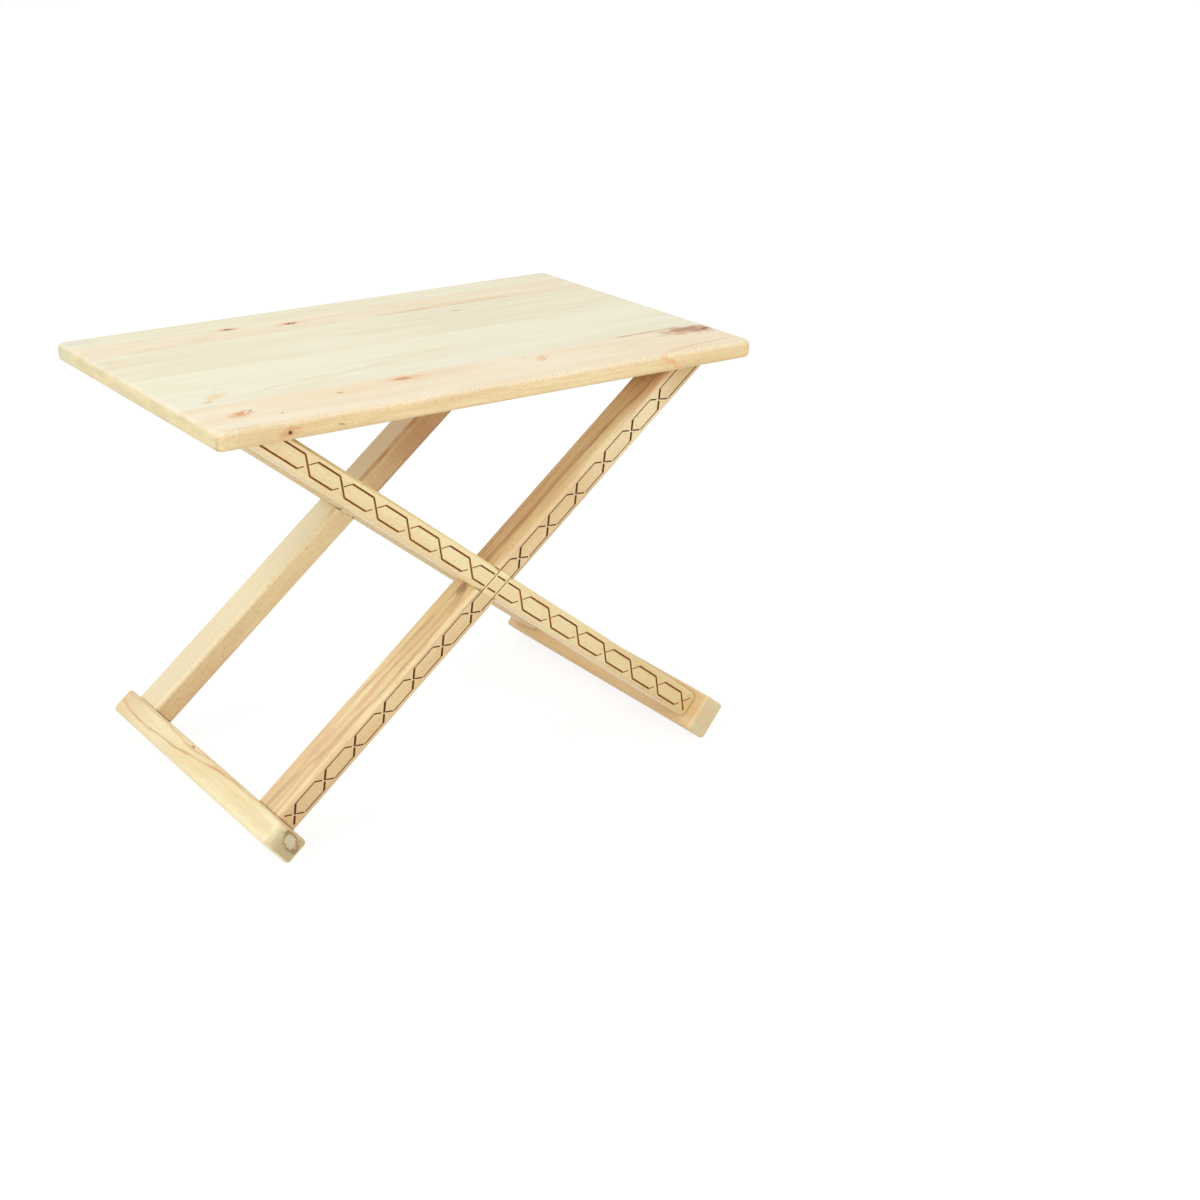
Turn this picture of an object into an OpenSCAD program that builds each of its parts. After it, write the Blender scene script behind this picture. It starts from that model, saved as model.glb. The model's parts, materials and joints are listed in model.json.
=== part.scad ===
// X-frame stool: a seat board of six glued planks on two leg frames.
// Each frame is two legs, a top rail under the seat and a foot rail on the floor. The frames cross
// in halving joints at the front and at the back, cut flush with the legs' faces.
// The seat lifts off its pegs, and the left frame then slides forwards out of the halving joints.
// A frame is called left or right by the end of the seat that it carries.
// Millimetres. X runs along the seat, Y from the front to the back and Z up.
// The origin is on the floor, under the middle of the seat.

/* [Seat board] */
// Length of the seat board, from side to side
seat_w = 600; // [500:5:720]
// Height of the seat's top above the floor
seat_h = 448; // [380:1:500]
// Thickness of the seat board
seat_t = 19; // [16:0.5:28]
// Width of the front plank
plank_1_w = 84; // [60:1:110]
// Width of the second plank
plank_2_w = 66; // [45:1:90]
// Width of the third plank
plank_3_w = 58; // [45:1:90]
// Width of the fourth plank
plank_4_w = 102; // [60:1:130]
// Width of the fifth plank
plank_5_w = 48; // [40:1:80]
// Width of the back plank
plank_6_w = 42; // [35:1:80]
// Radius along the board's top and bottom edges
seat_edge_r = 5.7; // [1:0.1:6]
// Radius of the board's four corners, seen from above
seat_corner_r = 8; // [6:0.5:40]

/* [Legs] */
// Width of a leg across its engraved face
leg_w = 29; // [22:0.5:40]
// Depth of a leg, from front to back
leg_d = 44; // [34:1:60]
// Radius along a leg's four long edges
leg_edge_r = 6; // [1:0.5:8]
// From the seat's front or back edge to the legs
leg_inset = 26; // [10:1:50]
// From the seat's end to a leg's centre line, at the underside of the board
top_inset = 56.5; // [40:0.5:90]
// From the seat's end to the same centre line, drawn on to the floor
floor_inset = 10.5; // [0:0.5:60]
// Gap between the cut faces of a halving joint
lap_gap = 0.2; // [0.1:0.05:0.5]

/* [Rails] */
// Thickness of a foot rail, measured along the legs
foot_rail_t = 29; // [22:0.5:40]
// Width of a foot rail, measured across the legs
foot_rail_w = 44; // [34:0.5:60]
// Distance that a foot rail stands off centre, towards the legs' lower side
foot_rail_drop = 2; // [0:0.5:6]
// Radius along all edges of a foot rail
foot_rail_r = 4.5; // [1:0.5:8]
// From the seat's front or back edge to a foot rail's end
foot_rail_inset = 10; // [0:1:20]
// Depth of a top rail below the board
top_rail_h = 19; // [16:0.5:30]

/* [Dowels and pegs] */
// Diameter of the dowels that hold the frames together
dowel_d = 8; // [6:0.5:10]
// Length of a foot dowel in the leg
foot_dowel_in_leg = 22; // [12:1:40]
// Length of a foot dowel in the rail
foot_dowel_in_rail = 16; // [10:1:20]
// Distance between the two foot dowels of a leg
foot_dowel_pitch = 20; // [14:1:24]
// Length of a top dowel in the leg
top_dowel_in_leg = 20; // [12:1:26]
// Length of a top dowel in the rail
top_dowel_in_rail = 28; // [12:1:50]
// Distance between the two top dowels of a leg
top_dowel_pitch = 18; // [14:1:20]
// Space for glue round a dowel
glue_gap = 0.1; // [0.05:0.05:0.3]
// Space for glue at a dowel's ends
glue_end = 0.5; // [0.2:0.1:1]
// Diameter of the pegs that place the seat
peg_d = 10; // [6:0.5:12]
// Height of a peg above its rail
peg_out = 9; // [5:0.5:12]
// Depth of a peg in its rail
peg_in = 13; // [8:0.5:14]
// Gap between a peg and its hole in the seat
peg_gap = 0.3; // [0.2:0.05:0.6]
// Chamfer on a peg's upper end
peg_chamfer = 1.5; // [0.5:0.1:2]
// From the top rail's ends to the pegs
peg_inset = 48; // [35:1:90]

/* [Battens] */
// Thickness of a seat batten
batten_t = 18; // [12:0.5:24]
// Width of a batten's lower face
batten_w = 38; // [24:1:60]
// Gap between a batten's bevelled side and the frame next to it
batten_gap = 0.5; // [0.3:0.1:2]
// From the legs' inner faces to a batten's ends
batten_inset = 5; // [1:1:30]
// Number of screws in each batten
screw_count = 4; // [2:1:6]
// Distance of the first and last screws from a batten's ends
screw_inset = 25; // [12:1:50]
// Length of a screw
screw_l = 29; // [20:1:32]
// Diameter of a screw's shank
screw_d = 4; // [3:0.5:5]
// Diameter of a screw's head
screw_head_d = 8; // [6:0.5:10]
// Space round a screw
screw_gap = 0.1; // [0.05:0.05:0.3]

/* [Hidden] */

$fn = 32;
left = -1;
right = 1;
// Overshoot of a cutting shape past the face that it opens
past = 5;

plank_ws = [plank_1_w, plank_2_w, plank_3_w, plank_4_w, plank_5_w, plank_6_w];
function sum_of_first(list, n) = n <= 0 ? 0 : list[n - 1] + sum_of_first(list, n - 1);
seat_d = sum_of_first(plank_ws, len(plank_ws));
under_z = seat_h - seat_t;

// The centre lines of the legs cross in the middle of the stool
top_x = seat_w / 2 - top_inset;
floor_x = seat_w / 2 - floor_inset;
leg_angle = atan(under_z / (top_x + floor_x));
crossing_z = floor_x * tan(leg_angle);
function centre_line_x(z) = (z - crossing_z) / tan(leg_angle);

// Along a leg from the crossing: down to its square foot, where the rail then just meets the floor,
// and up past the level cut under the seat
foot_rail_low = foot_rail_w / 2 + foot_rail_drop - foot_rail_r;
rail_corner_a = (crossing_z - foot_rail_r - foot_rail_low * cos(leg_angle)) / sin(leg_angle);
foot_reach = rail_corner_a - foot_rail_t + foot_rail_r;
top_reach = (under_z - crossing_z) / sin(leg_angle) + leg_w;

// Front to back: the legs' front faces, their inner faces and the halving joint's share of a leg
leg_ys = [leg_inset - seat_d / 2, seat_d / 2 - leg_inset - leg_d];
inner_y = seat_d / 2 - leg_inset - leg_d;
foot_rail_y = seat_d / 2 - foot_rail_inset;
lap_d = (leg_d - lap_gap) / 2;

// Battens and their screws
batten_y = inner_y - batten_inset;
function batten_outer_x(z) = centre_line_x(z) - (leg_w / 2 + batten_gap) / sin(leg_angle);
batten_low_z = under_z - batten_t;
batten_inner_x = batten_outer_x(batten_low_z) - batten_w;
screw_x = batten_inner_x + batten_w / 2;
screw_step = 2 * (batten_y - screw_inset) / (screw_count - 1);

// Pegs stand in the middle of the right top rail
peg_x = centre_line_x(under_z - top_rail_h / 2);
peg_y = inner_y - peg_inset;

seat_colour = "wheat";
leg_colour = "burlywood";
rail_colour = "navajowhite";
dowel_colour = "tan";
screw_colour = "silver";

// Mirrors what is drawn for the right side over to the left one
module on_side(side) {
    if (side == left)
        mirror([1, 0, 0])
            children();
    else
        children();
}

// Carries what is drawn along a leg into its frame: X up the leg from the crossing, Z to its upper side
module in_frame(side) {
    on_side(side)
        translate([0, 0, crossing_z])
            rotate([0, -leg_angle, 0])
                children();
}

// Bar along X with round long edges, its front face at Y = 0
module round_bar(length, d, w, r) {
    rotate([90, 0, 90])
        linear_extrude(length)
            union() {
                translate([r, -w / 2])
                    square([d - 2 * r, w]);
                translate([0, r - w / 2])
                    square([d, w - 2 * r]);
                for (y = [r, d - r], z = [-1, 1])
                    translate([y, z * (w / 2 - r)])
                        circle(r);
            }
}

// Block with all its edges and corners round
module round_block(size, r) {
    hull()
        for (x = [r, size.x - r], y = [r, size.y - r], z = [r, size.z - r])
            translate([x, y, z])
                sphere(r);
}

// Dowels along the legs, across the butt joints of feet and foot rail. Their bores are the same set
// with a glue space, which is 0 for the dowels themselves.
module foot_dowel_set(side, round_space, end_space) {
    from = foot_reach + foot_dowel_in_rail + end_space;
    to = foot_reach - foot_dowel_in_leg - end_space;
    for (leg_y = leg_ys, s = [-1, 1])
        in_frame(side)
            translate([-from, leg_y + leg_d / 2 + s * foot_dowel_pitch / 2, 0])
                rotate([0, 90, 0])
                    cylinder(h = from - to, r = dowel_d / 2 + round_space);
}

// Dowels from front to back, across the butt joints of legs and top rail
module top_dowel_set(side, round_space, end_space) {
    z = under_z - top_rail_h / 2;
    in_rail = top_dowel_in_rail + end_space;
    in_leg = top_dowel_in_leg + end_space;
    for (end = [-1, 1], s = [-1, 1])
        translate([side * centre_line_x(z) + s * top_dowel_pitch / 2, end * inner_y, z])
            rotate([-90 * end, 0, 0])
                translate([0, 0, -in_rail])
                    cylinder(h = in_rail + in_leg, r = dowel_d / 2 + round_space);
}

// Everything above the level of the board's underside
module above_legs() {
    translate([-seat_w, -seat_d, under_z])
        cube([2 * seat_w, 2 * seat_d, seat_h]);
}

// One leg, with its front face at y. The left frame's legs keep their front half in the halving
// joint, and the right frame's legs their rear half. The long edges are rounded with the frames
// together, so they stay square where one leg's face runs flush into the other's.
module leg(side, y) {
    keeps_front = side == left;
    flush_w = leg_w - 2 * leg_edge_r;
    notch_w = leg_w + 2 * lap_gap;
    notch_y = keeps_front ? y + lap_d : y - past;
    length = foot_reach + top_reach;
    color(leg_colour)
        difference() {
            union() {
                in_frame(side)
                    translate([-foot_reach, y, 0])
                        round_bar(length, leg_d, leg_w, leg_edge_r);
                intersection() {
                    in_frame(side)
                        translate([-leg_d, y, -leg_w / 2])
                            cube([2 * leg_d, leg_d, leg_w]);
                    in_frame(-side)
                        translate([-foot_reach, y, -flush_w / 2])
                            cube([length, leg_d, flush_w]);
                }
            }
            in_frame(-side)
                translate([-foot_reach, notch_y, -notch_w / 2])
                    cube([length, leg_d - lap_d + past, notch_w]);
            above_legs();
            foot_dowel_set(side, glue_gap, glue_end);
            top_dowel_set(side, glue_gap, glue_end);
        }
}

// Foot rail, turned in line with the legs that stand on it
module foot_rail(side) {
    color(rail_colour)
        difference() {
            in_frame(side)
                translate([-foot_reach - foot_rail_t, -foot_rail_y, -foot_rail_w / 2 - foot_rail_drop])
                    round_block([foot_rail_t, 2 * foot_rail_y, foot_rail_w], foot_rail_r);
            foot_dowel_set(side, glue_gap, glue_end);
        }
}

// Top rail between the legs, with its sides bevelled in line with theirs
module top_rail(side) {
    color(rail_colour)
        difference() {
            intersection() {
                in_frame(side)
                    translate([0, -inner_y, -leg_w / 2])
                        cube([top_reach, 2 * inner_y, leg_w]);
                translate([-seat_w, -seat_d, under_z - top_rail_h])
                    cube([2 * seat_w, 2 * seat_d, top_rail_h]);
            }
            top_dowel_set(side, glue_gap, glue_end);
            if (side == right)
                peg_holes(peg_in + glue_end, past, glue_gap);
        }
}

// Round holes on the pegs' axes, from a depth below the board's underside to a height above it
module peg_holes(depth, height, space) {
    for (s = [-1, 1])
        translate([peg_x, s * peg_y, under_z - depth])
            cylinder(h = depth + height, r = peg_d / 2 + space);
}

module seat_pegs() {
    color(dowel_colour)
        for (s = [-1, 1])
            translate([peg_x, s * peg_y, under_z - peg_in])
                rotate_extrude()
                    polygon([
                        [0, 0],
                        [peg_d / 2, 0],
                        [peg_d / 2, peg_in + peg_out - peg_chamfer],
                        [peg_d / 2 - peg_chamfer, peg_in + peg_out],
                        [0, peg_in + peg_out]
                    ]);
}

// The whole board before it is divided into planks, with round edges and corners
module seat_blank() {
    hull()
        for (x = [-1, 1], y = [-1, 1])
            translate([x * (seat_w / 2 - seat_corner_r), y * (seat_d / 2 - seat_corner_r), under_z])
                rotate_extrude()
                    corner_section();
}

// Half of the section through one round corner of the board
module corner_section() {
    intersection() {
        square([seat_corner_r, seat_t]);
        hull()
            for (z = [seat_edge_r, seat_t - seat_edge_r])
                translate([seat_corner_r - seat_edge_r, z])
                    circle(seat_edge_r);
    }
}

// Plank n of the board, counted from the front
module seat_plank(n) {
    color(seat_colour)
        difference() {
            intersection() {
                seat_blank();
                translate([-seat_w, sum_of_first(plank_ws, n - 1) - seat_d / 2, 0])
                    cube([2 * seat_w, plank_ws[n - 1], 2 * seat_h]);
            }
            peg_holes(past, peg_out + glue_end, peg_gap);
            screw_set(left, screw_gap);
            screw_set(right, screw_gap);
        }
}

// Batten under the board, with its outer side bevelled to lie along the frame's upper side
module batten(side) {
    color(rail_colour)
        difference() {
            on_side(side)
                translate([0, batten_y, 0])
                    rotate([90, 0, 0])
                        linear_extrude(2 * batten_y)
                            polygon([
                                [batten_inner_x, batten_low_z],
                                [batten_outer_x(batten_low_z), batten_low_z],
                                [batten_outer_x(under_z), under_z],
                                [batten_inner_x, under_z]
                            ]);
            screw_set(side, screw_gap);
        }
}

// Countersunk screws up through a batten into the planks. Their holes are the same set with a space.
module screw_set(side, space) {
    for (i = [0 : screw_count - 1])
        translate([side * screw_x, screw_inset - batten_y + i * screw_step, batten_low_z])
            rotate_extrude()
                polygon([
                    [0, 0],
                    [screw_head_d / 2 + space, 0],
                    [screw_d / 2 + space, (screw_head_d - screw_d) / 2],
                    [screw_d / 2 + space, screw_l - screw_d / 2 + space],
                    [0, screw_l + space]
                ]);
}

module batten_screws() {
    color(screw_colour) {
        screw_set(left, 0);
        screw_set(right, 0);
    }
}

module foot_dowels(side) {
    color(dowel_colour)
        foot_dowel_set(side, 0, 0);
}

module top_dowels(side) {
    color(dowel_colour)
        top_dowel_set(side, 0, 0);
}

seat_plank(1);  // seat_plank_1
seat_plank(2);  // seat_plank_2
seat_plank(3);  // seat_plank_3
seat_plank(4);  // seat_plank_4
seat_plank(5);  // seat_plank_5
seat_plank(6);  // seat_plank_6
batten(left);  // left_batten
batten(right);  // right_batten
batten_screws();
leg(left, leg_ys[0]);  // left_frame_front_leg
leg(left, leg_ys[1]);  // left_frame_rear_leg
foot_rail(left);  // left_frame_foot_rail
top_rail(left);  // left_frame_top_rail
foot_dowels(left);  // left_frame_foot_dowels
top_dowels(left);  // left_frame_top_dowels
leg(right, leg_ys[0]);  // right_frame_front_leg
leg(right, leg_ys[1]);  // right_frame_rear_leg
foot_rail(right);  // right_frame_foot_rail
top_rail(right);  // right_frame_top_rail
foot_dowels(right);  // right_frame_foot_dowels
top_dowels(right);  // right_frame_top_dowels
seat_pegs();  // right_frame_seat_pegs
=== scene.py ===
# %% [markdown]
# # An X-frame stool in pale beech
#
# The stool is a board of six glued planks on two leg frames that cross in halving joints. The two front
# legs carry an engraved chain of hexagons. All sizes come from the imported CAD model, which is loaded
# first, so each piece made here starts from a copy of its CAD solid and sits exactly where that one is.
# What Blender adds is what a joiner's hand and a clear finish add: broken edges, the engraving, screws
# with a cross recess, and wood whose grain runs the right way in each piece.

# %% Load the frame
import json
import math

import bmesh
import bpy
from mathutils import Matrix, Vector

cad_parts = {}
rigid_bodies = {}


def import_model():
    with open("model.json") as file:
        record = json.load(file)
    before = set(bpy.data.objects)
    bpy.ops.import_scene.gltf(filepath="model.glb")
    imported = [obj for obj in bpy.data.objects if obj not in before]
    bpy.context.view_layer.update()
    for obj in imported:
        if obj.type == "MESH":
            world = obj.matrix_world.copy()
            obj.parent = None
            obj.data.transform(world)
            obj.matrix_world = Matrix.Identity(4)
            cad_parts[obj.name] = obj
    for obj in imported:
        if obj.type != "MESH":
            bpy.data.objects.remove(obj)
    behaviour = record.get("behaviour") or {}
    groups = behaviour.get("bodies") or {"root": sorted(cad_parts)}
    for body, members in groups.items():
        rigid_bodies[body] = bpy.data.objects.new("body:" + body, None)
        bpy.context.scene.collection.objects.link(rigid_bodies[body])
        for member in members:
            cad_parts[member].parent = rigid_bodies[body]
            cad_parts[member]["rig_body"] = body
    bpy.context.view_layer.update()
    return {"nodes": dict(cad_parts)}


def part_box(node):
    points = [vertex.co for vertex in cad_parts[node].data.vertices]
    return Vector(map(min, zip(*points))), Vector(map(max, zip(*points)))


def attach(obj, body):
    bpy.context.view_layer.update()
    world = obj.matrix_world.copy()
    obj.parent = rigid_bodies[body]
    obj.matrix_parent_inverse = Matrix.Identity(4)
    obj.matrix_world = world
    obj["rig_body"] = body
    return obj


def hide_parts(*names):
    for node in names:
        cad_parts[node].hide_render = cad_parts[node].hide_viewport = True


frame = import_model()

# %% [markdown]
# ## The camera
#
# The photograph was taken with a long lens from the left front, a little above the seat. A camera in
# Blender could be aimed with a constraint, but plain angles are easier to keep: tilt 90 degrees looks
# level, less looks down, and a negative turn swings to the right of the Y axis.

# %% Camera
MM = 0.001
MM_IN_A_METRE = 1000.0
IMAGE_PIXELS = 1200
FOCAL_PIXELS = 2016.4
CAMERA_PLACE = Vector((-0.9785, -1.8011, 0.9608))
CAMERA_TILT = math.radians(68.548)
CAMERA_TURN = math.radians(-34.168)
CAMERA_ROLL = math.radians(-0.11)

camera_data = bpy.data.cameras.new("camera")
camera_data.sensor_width = 36
camera_data.lens = camera_data.sensor_width * FOCAL_PIXELS / IMAGE_PIXELS
camera_data.clip_end = 60
camera = bpy.data.objects.new("camera", camera_data)
bpy.context.scene.collection.objects.link(camera)
turn = Matrix.Rotation(CAMERA_TURN, 4, "Z")
tilt = Matrix.Rotation(CAMERA_TILT, 4, "X")
roll = Matrix.Rotation(CAMERA_ROLL, 4, "Z")
camera.matrix_world = Matrix.Translation(CAMERA_PLACE) @ turn @ tilt @ roll
bpy.context.scene.camera = camera
print("camera lens", round(camera_data.lens, 2), "mm")

# %% [markdown]
# ## A small kit for node trees
#
# Every finish below is a node tree, and so are the trees that repeat grooves and screws. Written out call
# by call, a tree of forty nodes hides its idea, so these classes give the kinds of node in use a short
# call each. A value may be a number, a colour or another node's output; `join` sets the first two and
# links the third.

# %% Node kit
class NodeKit:
    """A node tree and the calls that fill it."""

    def __init__(self, tree):
        self.tree = tree

    def join(self, value, socket):
        if isinstance(value, bpy.types.NodeSocket):
            self.tree.links.new(value, socket)
        else:
            socket.default_value = value

    def node(self, kind, inputs=None, **settings):
        made = self.tree.nodes.new(kind)
        for name, value in settings.items():
            setattr(made, name, value)
        for name, value in (inputs or {}).items():
            self.join(value, made.inputs[name])
        return made

    def math(self, operation, a, b=0.0, clamp=False):
        made = self.node("ShaderNodeMath", {0: a, 1: b}, operation=operation, use_clamp=clamp)
        return made.outputs[0]


# %% Finishes
class Finish(NodeKit):
    """A material and the calls that build its node tree."""

    def __init__(self, name):
        self.material = bpy.data.materials.new(name)
        self.material.use_nodes = True
        super().__init__(self.material.node_tree)
        self.tree.nodes.clear()
        self.coordinates = self.node("ShaderNodeTexCoord")

    def vector(self, operation, a, b=(0, 0, 0)):
        made = self.node("ShaderNodeVectorMath", {0: a, 1: b}, operation=operation)
        return made.outputs["Vector"]

    def measure(self, operation, a, b=(0, 0, 0)):
        made = self.node("ShaderNodeVectorMath", {0: a, 1: b}, operation=operation)
        return made.outputs["Value"]

    def scaled(self, vector, amount):
        made = self.node("ShaderNodeVectorMath", {0: vector, "Scale": amount}, operation="SCALE")
        return made.outputs["Vector"]

    def ramp(self, value, start, end, low=0.0, high=1.0):
        """Low up to the start and high from the end on, with a soft rise between."""
        inputs = {"Value": value, "From Min": start, "From Max": end, "To Min": low, "To Max": high}
        made = self.node("ShaderNodeMapRange", inputs, interpolation_type="SMOOTHSTEP")
        return made.outputs["Result"]

    def mix(self, amount, a, b, blend="MIX"):
        made = self.node("ShaderNodeMix", {0: amount, 6: a, 7: b}, data_type="RGBA", blend_type=blend)
        return made.outputs[2]

    def noise(self, place, detail=2.0, roughness=0.5):
        inputs = {"Vector": place, "Scale": 1.0, "Detail": detail, "Roughness": roughness}
        return self.node("ShaderNodeTexNoise", inputs).outputs[0]

    def waves(self, place):
        """Noise in three directions about zero, to push a place about."""
        texture = self.node("ShaderNodeTexNoise", {"Vector": place, "Scale": 1.0, "Detail": 2.0})
        return self.vector("SUBTRACT", texture.outputs["Color"], (0.5, 0.5, 0.5))

    def parts(self, vector):
        return self.node("ShaderNodeSeparateXYZ", {0: vector}).outputs

    def surface(self, colour, roughness, height, relief, gloss=0.5, metal=0.0):
        """Ends the tree: a shader with these, and a relief in metres that follows the height."""
        bump = self.node("ShaderNodeBump", {"Height": height, "Distance": relief, "Strength": 1.0})
        inputs = {
            "Base Color": colour,
            "Roughness": roughness,
            "Specular IOR Level": gloss,
            "Metallic": metal,
            "Normal": bump.outputs[0],
        }
        shader = self.node("ShaderNodeBsdfPrincipled", inputs)
        self.node("ShaderNodeOutputMaterial", {"Surface": shader.outputs[0]})
        print("finish", self.material.name, "of", len(self.tree.nodes), "nodes")
        return self.material


# %% Colours
def srgb(red, green, blue):
    """A colour as a picture editor shows it, from 0 to 255, in the linear values of Blender."""
    def linear(value):
        value = value / 255
        return value / 12.92 if value <= 0.04045 else ((value + 0.055) / 1.055) ** 2.4
    return (linear(red), linear(green), linear(blue), 1.0)


# %% [markdown]
# ## Studio: floor, backdrop and light
#
# The photograph has a white ground that runs on without a horizon and hardly a shadow. More light on the
# object would bleach the wood, so the white comes from the rays instead: where a camera ray, a mirror ray
# or a refracted ray meets the world it finds plain white, and where light is gathered for the wood the
# world is a dimmer dome. The floor does the same, but a share of it stays an ordinary surface, which
# keeps a faint shadow under the rails.

# %% World
DOME_LIGHT = 0.78
SEEN_WHITE = 1.0
WHITE = (1.0, 1.0, 1.0, 1.0)

scene = bpy.context.scene
scene.view_settings.view_transform = "Standard"
world = bpy.data.worlds.new("studio")
scene.world = world
world.use_nodes = True
world.node_tree.nodes.clear()


def seen_directly(kit):
    """1 for rays that show a background as it is: from the camera, off gloss or through glass."""
    ray = kit.node("ShaderNodeLightPath").outputs
    camera_or_gloss = kit.math("MAXIMUM", ray["Is Camera Ray"], ray["Is Glossy Ray"])
    return kit.math("MAXIMUM", camera_or_gloss, ray["Is Transmission Ray"])


studio = NodeKit(world.node_tree)
dome = studio.node("ShaderNodeBackground", {"Color": WHITE, "Strength": DOME_LIGHT})
white = studio.node("ShaderNodeBackground", {"Color": WHITE, "Strength": SEEN_WHITE})
choice = {0: seen_directly(studio), 1: dome.outputs[0], 2: white.outputs[0]}
either = studio.node("ShaderNodeMixShader", choice)
studio.node("ShaderNodeOutputWorld", {"Surface": either.outputs[0]})
print("world", DOME_LIGHT, "for light,", SEEN_WHITE, "where it is seen")

# %% Floor
FLOOR_HALF = 9.0
FLOOR_GLOW = 0.86
FLOOR_LIT_SHARE = 0.2
FLOOR_GREY = 0.8


def grey(level):
    return (level, level, level, 1)


floor_mesh = bpy.data.meshes.new("floor")
corners = [(x * FLOOR_HALF, y * FLOOR_HALF, 0) for x, y in ((-1, -1), (1, -1), (1, 1), (-1, 1))]
floor_mesh.from_pydata(corners, [], [(0, 1, 2, 3)])
floor = bpy.data.objects.new("floor", floor_mesh)
scene.collection.objects.link(floor)
floor_paint = Finish("white_floor")
plain = floor_paint.node("ShaderNodeBsdfDiffuse", {"Color": grey(FLOOR_GREY)})
shaded = floor_paint.node("ShaderNodeBsdfDiffuse", {"Color": grey(FLOOR_LIT_SHARE)})
glow = floor_paint.node("ShaderNodeEmission", {"Color": WHITE, "Strength": FLOOR_GLOW})
seen = floor_paint.node("ShaderNodeAddShader", {0: shaded.outputs[0], 1: glow.outputs[0]})
choice = {0: seen_directly(floor_paint), 1: plain.outputs[0], 2: seen.outputs[0]}
floor_shader = floor_paint.node("ShaderNodeMixShader", choice)
floor_paint.node("ShaderNodeOutputMaterial", {"Surface": floor_shader.outputs[0]})
floor_mesh.materials.append(floor_paint.material)
print("floor", 2 * FLOOR_HALF, "m square")

# %% Lamps
STOOL_MIDDLE = Vector((0, 0, 0.3))


def soft_box(name, place, size, watts):
    """A square studio lamp, aimed at the middle of the stool."""
    data = bpy.data.lights.new(name, "AREA")
    data.shape = "SQUARE"
    data.size = size
    data.energy = watts
    lamp = bpy.data.objects.new(name, data)
    lamp.location = place
    lamp.rotation_euler = (STOOL_MIDDLE - Vector(place)).to_track_quat("-Z", "Y").to_euler()
    scene.collection.objects.link(lamp)
    print(name, watts, "W,", size, "m square")


soft_box("left_soft_box", (-2.4, -0.45, 2.4), 1.8, 27)
soft_box("front_soft_box", (-0.3, -3.2, 1.3), 1.8, 20)

# %% [markdown]
# ## How the legs lie
#
# Legs and foot rails are turned, so both the grain and the engraving need the directions along and
# across a leg. They could be read off its mesh, but three measures of the design say it more plainly:
# where the leg's middle line is at the floor and under the seat, and how high that is. They give the
# slope, and the legs cross on the middle line of the stool. A leg's own numbers are a along it, from the
# crossing up, and b across it, towards its upper side.

# %% Leg directions
UNDER_SEAT = 429
LEG_TOP_X = 243.5
LEG_FLOOR_X = 289.5

leg_angle = math.atan(UNDER_SEAT / (LEG_TOP_X + LEG_FLOOR_X))
crossing_z = LEG_FLOOR_X * math.tan(leg_angle)
front_face_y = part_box("right_frame_front_leg")[0].y / MM
LEFT = -1
RIGHT = 1


def leg_directions(side):
    """Along a leg and across it, for the leg that rises to that side."""
    along = Vector((side * math.cos(leg_angle), 0, math.sin(leg_angle)))
    across = Vector((-side * math.sin(leg_angle), 0, math.cos(leg_angle)))
    return along, across


print("legs", round(math.degrees(leg_angle), 2), "degrees, crossing", round(crossing_z, 1), "mm up")

# %% [markdown]
# ## Wood
#
# Wood could be a flat picture laid on each face, but then the end of a plank would not show the rings
# that its top shows. Here it is a solid: the pattern fills space in millimetres, and a piece shows
# whatever its faces cut through. The Mapping node turns space so that its first axis runs with the
# grain; for a leg that rises to the left it is mirrored too, so that a runs up that leg as well. Rings
# are circles round a pith that lies beside the piece, bent by slow noise. On top of them come broad
# tints and fine fibres.

# %% Grain space
def with_grain(turn, place=(0, 0, 0), mirrored=False):
    """Settings that turn object space so that X runs along the grain, in millimetres."""
    scale = MM_IN_A_METRE
    first = -scale if mirrored else scale
    return {"Rotation": turn, "Location": place, "Scale": (first, scale, scale)}


def along_leg(side):
    place = (-crossing_z * math.sin(leg_angle), 0, -crossing_z * math.cos(leg_angle))
    return with_grain((0, leg_angle, 0), place, mirrored=side == LEFT)


def along_foot_rail(side):
    place = (0, crossing_z * math.sin(leg_angle), -crossing_z * math.cos(leg_angle))
    return with_grain((0, leg_angle, -math.pi / 2), place, mirrored=side == LEFT)


ALONG_SEAT = with_grain((0, 0, 0))
FRONT_TO_BACK = with_grain((0, 0, -math.pi / 2))
UPRIGHT = with_grain((0, math.pi / 2, 0))


# %% Grain
SEED_STEP = (37.1, 11.7, 5.3)
FIBRE_STRETCH = (0.035, 1.5, 1.5)
TINT_STRETCH = (0.006, 0.055, 0.055)
BEND_STRETCH = (0.008, 0.03, 0.03)
BEND_BY = (30, 16, 16)
YEARS_WANDER = 0.7
WEAKEST_YEAR = 0.35


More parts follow.
